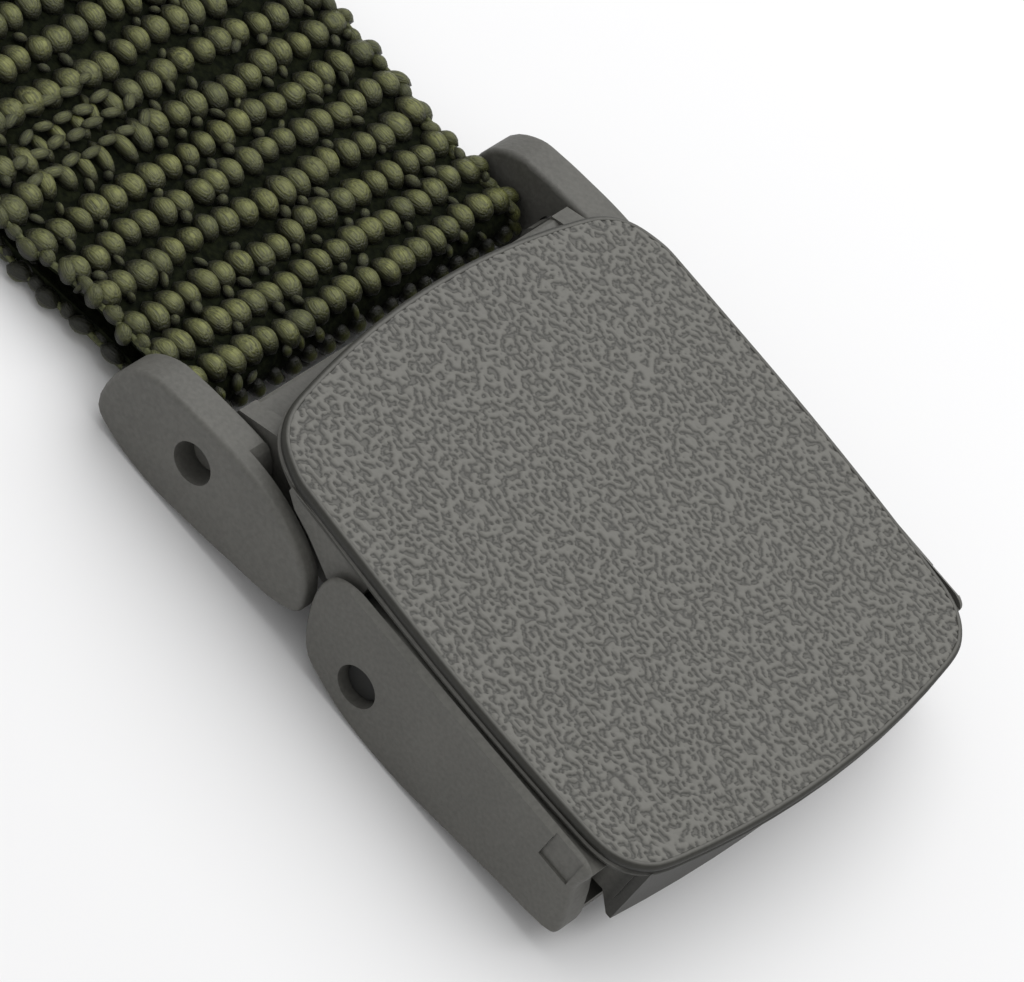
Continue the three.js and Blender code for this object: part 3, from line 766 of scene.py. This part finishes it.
def cover_plastic():
    """The moulded plastic, with painted shade on the hooked lip."""
    material = plastic_material("moulded_cover_painted_shade")
    tree = material.node_tree
    place_axes = node(tree, "ShaderNodeSeparateXYZ")
    link(tree, object_place(tree), place_axes.inputs[0])
    along = node(tree, "ShaderNodeMapRange")
    along.inputs["From Min"].default_value = LIP_SHADE_START
    along.inputs["From Max"].default_value = LIP_SHADE_FULL
    link(tree, place_axes.outputs["X"], along.inputs["Value"])
    tint_plastic(material, add_ramp(tree, along.outputs["Result"],
                                    [(0, (1, 1, 1)), (1, LIP_PAINTED_SHADE)]))
    return material


cover_body = smooth_copy("cover", "cover_body", cover_plastic(), "cover")

PLATE_START = 3.05 * MM
PLATE_LENGTH = 42.6 * MM
PLATE_TOP = 13.014 * MM
PLATE_DROP = 1.3 * MM
PLATE_CROWN = 0.6 * MM
PLATE_HALF_WIDTH = 22.25 * MM


def plate_top(x, y):
    share = y / PLATE_HALF_WIDTH
    return PLATE_TOP - PLATE_DROP * (x - PLATE_START) / PLATE_LENGTH + PLATE_CROWN * (1 - share ** 2)


# Under the grained face the plate's own top lies a little lower, so that no groove cuts into it
UNDER_GRAIN = 0.36 * MM
EDGE_ROUNDING = 0.9 * MM
for vertex in cover_body.data.vertices:
    if vertex.co.z > plate_top(vertex.co.x, vertex.co.y) - EDGE_ROUNDING:
        vertex.co.z -= UNDER_GRAIN

# Grained face: a closed skin over the plate, whose top rises and falls in short crooked
# wrinkles. The wrinkles' heights are shares of GRAIN_HEIGHT.
GRAIN_STEP = 0.148 * MM
GRAIN_WAVE = 0.60 * MM
GRAIN_SPREAD = 0.55
GRAIN_LENGTHWISE = 1.35
GRAIN_HEIGHT = 0.19 * MM
GRAIN_LIFT = -0.07 * MM
GRAIN_FLOOR = -0.68
COARSE_WAVE, COARSE_SPREAD, COARSE_SHARE = 2.2 * GRAIN_WAVE, 0.6, 0.45
PATCH_WAVE, PATCH_SPREAD, PATCH_SHARE = 9 * GRAIN_WAVE, 0.8, 0.18
RIDGE_SHARE, VALLEY_SHARE = 0.35, 0.75
VALLEY_FROM, VALLEY_STEEP, VALLEY_DEEPEST = 0.1, 1.4, 3
RIM_WIDTH = 0.36 * MM
RIM_FADE = 0.42 * MM
RIM_LAP = 0.06 * MM
SKIN_DEPTH = 0.4 * MM
SKIN_SINK = 0.16 * MM
PLATE_LOWEST = 10 * MM
OUTLINE_LEAST = 1e-7
FAR_INSIDE = 1.0
plate_points = [v.co.to_2d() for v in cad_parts["cover"].data.vertices
                if v.co.z > PLATE_LOWEST]
outline = np.array([plate_points[i] for i in geometry.convex_hull_2d(plate_points)])
low, high = outline.min(0), outline.max(0)
columns, rows = (int(n) + 1 for n in (high - low) / GRAIN_STEP)
grid_x, grid_y = np.meshgrid(
    low[0] + GRAIN_STEP * np.arange(columns), low[1] + GRAIN_STEP * np.arange(rows), indexing="ij")


def inside_outline(x, y):
    """How far a point lies inside the plate's edge, below zero outside it."""
    nearest = np.full(x.shape, FAR_INSIDE)
    middle_x, middle_y = outline.mean(0)
    for a, b in zip(outline, np.roll(outline, -1, axis=0)):
        side = b - a
        length = np.hypot(*side)
        if length < OUTLINE_LEAST:
            continue
        inner = side[0] * (middle_y - a[1]) - side[1] * (middle_x - a[0])
        away = (side[0] * (y - a[1]) - side[1] * (x - a[0])) / length
        nearest = np.minimum(nearest, math.copysign(1, inner) * away)
    return nearest


def wrinkles(wave, spread, seed):
    """Noise of about one wavelength over the grid: short crooked ridges and valleys."""
    noise = np.random.default_rng(seed).normal(size=grid_x.shape)
    turns_x = np.fft.fftfreq(columns, GRAIN_STEP)[:, None]
    turns_y = np.fft.fftfreq(rows, GRAIN_STEP)[None, :]
    pitch = np.hypot(turns_x * GRAIN_LENGTHWISE, turns_y) * wave
    field = np.fft.ifft2(np.fft.fft2(noise) * np.exp(-((pitch - 1) / spread) ** 2)).real
    return field / field.std()


inside = inside_outline(grid_x, grid_y)
field = (wrinkles(GRAIN_WAVE, GRAIN_SPREAD, seed=4)
         * (1 + PATCH_SHARE * wrinkles(PATCH_WAVE, PATCH_SPREAD, seed=15))
         + COARSE_SHARE * wrinkles(COARSE_WAVE, COARSE_SPREAD, seed=8))
valleys = np.tanh(VALLEY_STEEP * np.clip(-field - VALLEY_FROM, 0, VALLEY_DEEPEST))
grain = np.maximum(RIDGE_SHARE * np.tanh(field) - VALLEY_SHARE * valleys, GRAIN_FLOOR)
fade = eased(np.clip((inside - RIM_WIDTH) / RIM_FADE, 0, 1))
height = (plate_top(grid_x, grid_y) + (GRAIN_LIFT + GRAIN_HEIGHT * grain) * fade
          - SKIN_SINK * (1 - fade))
keep = inside > RIM_WIDTH - RIM_LAP
number = np.cumsum(keep.ravel()).reshape(keep.shape) - 1
skin_vertices = np.stack([grid_x[keep], grid_y[keep], height[keep]], axis=1)
full = keep[:-1, :-1] & keep[1:, :-1] & keep[1:, 1:] & keep[:-1, 1:]
corners = [number[:-1, :-1][full], number[1:, :-1][full], number[1:, 1:][full], number[:-1, 1:][full]]
skin = mesh_object("cover_grained_face", skin_vertices, np.stack(corners, axis=1).tolist())
grain_heights = skin.data.attributes.new("grain", "FLOAT", "POINT")
grain_heights.data.foreach_set("value", (1 + grain * fade)[keep].astype(np.float32))

# The skin gets walls and a bottom, so that it is a closed solid
work = bmesh.new()
work.from_mesh(skin.data)
loose = [v for v in work.verts if not v.link_faces]
bmesh.ops.delete(work, geom=loose, context="VERTS")
skin_edges = [e for e in work.edges if e.is_boundary]
pulled = bmesh.ops.extrude_edge_only(work, edges=skin_edges)["geom"]
for vertex in (g for g in pulled if isinstance(g, bmesh.types.BMVert)):
    vertex.co.z -= SKIN_DEPTH
bmesh.ops.holes_fill(work, edges=[e for e in work.edges if e.is_boundary], sides=0)
bmesh.ops.recalc_face_normals(work, faces=work.faces)
work.to_mesh(skin.data)
work.free()
skin.data.shade_smooth()

# Rim: a smooth roll round the plate's edge, with a groove and a small lip below it. Each
# row is how far in from the edge and how far below the plate's top it lies, in millimetres.
RIM_PROFILE = [
    (2.0, 0.40), (1.2, 0.40), (0.72, 0.36), (0.60, 0.18), (0.50, 0.08), (0.38, 0.07),
    (0.22, 0.13), (0.10, 0.25), (0.03, 0.40), (0.02, 0.56), (0.10, 0.82), (0.17, 1.04),
    (0.15, 1.11), (0.02, 1.19), (0.0, 1.27), (0.04, 1.37), (0.14, 1.43), (0.50, 1.44),
    (2.0, 1.44),
]
RIM_STEPS = 360
RIM_ROUNDINGS = 3
RIM_CREASE = math.radians(60)
around_edge = np.vstack([outline, outline[:1]])
edge_far = np.concatenate([[0], np.cumsum(np.hypot(*np.diff(around_edge, axis=0).T))])
edge_places = np.linspace(0, edge_far[-1], RIM_STEPS, endpoint=False)
edge_points = np.stack(
    [np.interp(edge_places, edge_far, around_edge[:, k]) for k in (0, 1)], axis=1)
for _ in range(RIM_ROUNDINGS):
    edge_points = (np.roll(edge_points, 1, 0) + 2 * edge_points + np.roll(edge_points, -1, 0)) / 4
tangents = np.roll(edge_points, -1, 0) - np.roll(edge_points, 1, 0)
tangents /= np.hypot(*tangents.T)[:, None]
inwards = np.stack([-tangents[:, 1], tangents[:, 0]], axis=1)
if np.sum(inwards * (outline.mean(0) - edge_points)) < 0:
    inwards = -inwards
rim_vertices, rim_faces = [], []
for distance, depth in RIM_PROFILE:
    for x, y in edge_points + inwards * distance * MM:
        rim_vertices.append((x, y, plate_top(x, y) - depth * MM))
for level in range(len(RIM_PROFILE)):
    lower = (level + 1) % len(RIM_PROFILE)
    for i in range(RIM_STEPS):
        j = (i + 1) % RIM_STEPS
        rim_faces.append((level * RIM_STEPS + i, level * RIM_STEPS + j,
                          lower * RIM_STEPS + j, lower * RIM_STEPS + i))
rim = mesh_object("cover_rim", rim_vertices, rim_faces)
face_outwards(rim.data)
rim.data.shade_smooth()
rim.data.set_sharp_from_angle(angle=RIM_CREASE)
rim_depths = rim.data.attributes.new("depth", "FLOAT", "POINT")
rim_depths.data.foreach_set("value", np.repeat([row[1] for row in RIM_PROFILE], RIM_STEPS))

# The roll's flank and the groove under it get painted shade, and the lip below a lighter painted
# shade.
# Each shade is at a depth below the plate's top, in millimetres.
RIM_PAINTED_SHADES = [(0.07, (1, 1, 1)), (0.14, (0.25, 0.25, 0.22)), (0.97, (0.10, 0.10, 0.09)),
                 (0.999, (0.50, 0.50, 0.48))]
rim_plastic = plastic_material("moulded_rim_painted_shade")
tree = rim_plastic.node_tree
depth_below = node(tree, "ShaderNodeAttribute", attribute_name="depth").outputs["Fac"]
tint_plastic(rim_plastic, add_ramp(tree, depth_below, RIM_PAINTED_SHADES))
rim.data.materials.append(rim_plastic)
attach(rim, "cover")

# Painted shade and highlight on the grain by its height: 1 is the plate's level. Only the slopes get
# painted shade, and the ridges a painted highlight.
GRAIN_PAINTED_SHADES = [(0.325, 0.96), (0.38, 0.5), (0.8, 1.0), (1.3, 1.42)]
GRAIN_ROUGHNESS = 0.56
GRAIN_PITS = (3200, 2)
GRAIN_PIT_BUMP = (0.5, 0.00005)


def grained_plastic():
    material, shader = new_material("grained_plastic", PLASTIC, GRAIN_ROUGHNESS, PLASTIC_GLOSS)
    tree = material.node_tree
    grain_height = node(tree, "ShaderNodeAttribute", attribute_name="grain").outputs["Fac"]
    shades = [(place, [c * share for c in PLASTIC]) for place, share in GRAIN_PAINTED_SHADES]
    link(tree, add_ramp(tree, grain_height, shades), shader.inputs["Base Color"])
    add_bump(tree, add_noise(tree, *GRAIN_PITS, object_place(tree)), *GRAIN_PIT_BUMP, shader)
    return material


skin.data.materials.append(grained_plastic())
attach(skin, "cover")

# Locking lever: a moulded U under the cover, with a hooked side flange on each side.
# It turns on two short steel pins.
smooth_copy("locking_lever", "lever_body", moulded, "lever")

# Steel: the bar that the strap turns round is a very dark steel, as painted shade that keeps its end
# from shining, and the lever's two pins are near black, as painted shade for the dark holes they sit
# in. All three are cut from rod, with fine marks from the lathe.
ROD_MARKS = (900, 2)
ROD_BUMP = (0.3, 0.00005)


# The bar's steel colour is kept very dark as painted shade, so that its end does not shine
def dark_steel_painted_shade():
    material, shader = new_material("dark_steel_painted_shade", (0.06, 0.06, 0.058), 0.5)
    shader.inputs["Metallic"].default_value = 1
    tree = material.node_tree
    marks = add_noise(tree, *ROD_MARKS, object_place(tree))
    shades = [(0.3, (0.04, 0.04, 0.038)), (0.7, (0.085, 0.085, 0.08))]
    link(tree, add_ramp(tree, marks, shades), shader.inputs["Base Color"])
    add_bump(tree, marks, *ROD_BUMP, shader)
    return material


# The pins are coloured near black as painted shade for the dark holes they sit in
def black_steel_painted_shade():
    material, shader = new_material("black_steel_painted_shade", (0.012, 0.012, 0.011), 0.55, specular=0.3)
    tree = material.node_tree
    add_bump(tree, add_noise(tree, *ROD_MARKS, object_place(tree)), *ROD_BUMP, shader)
    return material


smooth_copy("strap_bar", "strap_bar_rod", dark_steel_painted_shade(), "strap_side")
pin_steel = black_steel_painted_shade()
for side in ("near", "far"):
    smooth_copy("lever_pin_" + side, "lever_pin_rod_" + side, pin_steel, "cover")
